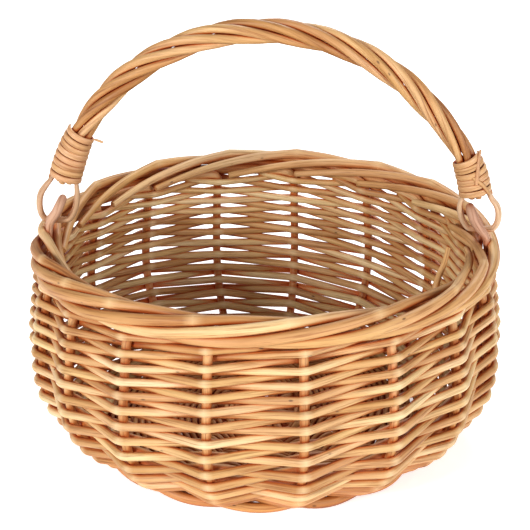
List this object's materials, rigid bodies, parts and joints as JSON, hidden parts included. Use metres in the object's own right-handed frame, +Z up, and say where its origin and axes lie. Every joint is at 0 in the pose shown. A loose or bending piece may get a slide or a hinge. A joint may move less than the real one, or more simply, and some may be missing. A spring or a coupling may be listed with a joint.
{
  "type": "egg collection basket",
  "caption": "Round barrel-sided willow basket for gathering eggs, randed over upright stakes, with a twisted rod handle that swings on two cane rings.",
  "frame": {"origin": "the middle of the underside of the base", "axes": "+Z up; the handle turns about an axis along X; the front that the picture shows faces -Y, turned 3 degrees"},
  "size_m": [0.3041, 0.3018, 0.2761],
  "materials": {
    "stakes": "buff willow rods with the bark off, satin, with fine grain along each rod and small knots",
    "weavers": "buff willow rods with the bark off, satin, paler than the stakes",
    "base": "buff willow, satin",
    "handle": "buff willow rods twisted together, satin",
    "cane": "pale cane with a smooth glossy rind",
    "skein": "pinkish split willow, matt"
  },
  "bodies": {
    "basket": {"stake_01": "stakes", "stake_02": "stakes", "stake_03": "stakes", "stake_04": "stakes", "stake_05": "stakes", "stake_06": "stakes", "stake_07": "stakes", "stake_08": "stakes", "stake_09": "stakes", "stake_10": "stakes", "stake_11": "stakes", "stake_12": "stakes", "stake_13": "stakes", "stake_14": "stakes", "stake_15": "stakes", "stake_16": "stakes", "stake_17": "stakes", "stake_18": "stakes", "weaver_01": "weavers", "weaver_02": "weavers", "weaver_03": "weavers", "weaver_04": "weavers", "weaver_05": "weavers", "weaver_06": "weavers", "weaver_07": "weavers", "weaver_08": "weavers", "weaver_09": "weavers", "weaver_10": "weavers", "weaver_11": "weavers", "weaver_12": "weavers", "weaver_13": "weavers", "weaver_14": "weavers", "weaver_15": "weavers", "weaver_16": "weavers", "weaver_17": "weavers", "weaver_18": "weavers", "foot_wale_1": "weavers", "foot_wale_2": "weavers", "foot_wale_3": "weavers", "base_stick_1": "base", "base_stick_2": "base", "base_stick_3": "base", "base_stick_4": "base", "base_stick_5": "base", "base_stick_6": "base", "base_stick_7": "base", "base_stick_8": "base", "base_stick_9": "base", "base_weave": "base", "eye_left": "skein", "eye_right": "skein"},
    "handle": {"handle_rod_1": "handle", "handle_rod_2": "handle", "handle_rod_3": "handle", "handle_rod_4": "handle", "handle_rod_5": "handle", "binding_left": "cane", "binding_right": "cane", "ring_left": "cane", "ring_right": "cane"}
  },
  "joints": [
    {"name": "handle_swing", "type": "hinge", "parent": "basket", "child": "handle", "pos_m": [0, 0, 0.143], "axis": [1, 0, 0], "range_deg": [-80, 80]}
  ]
}
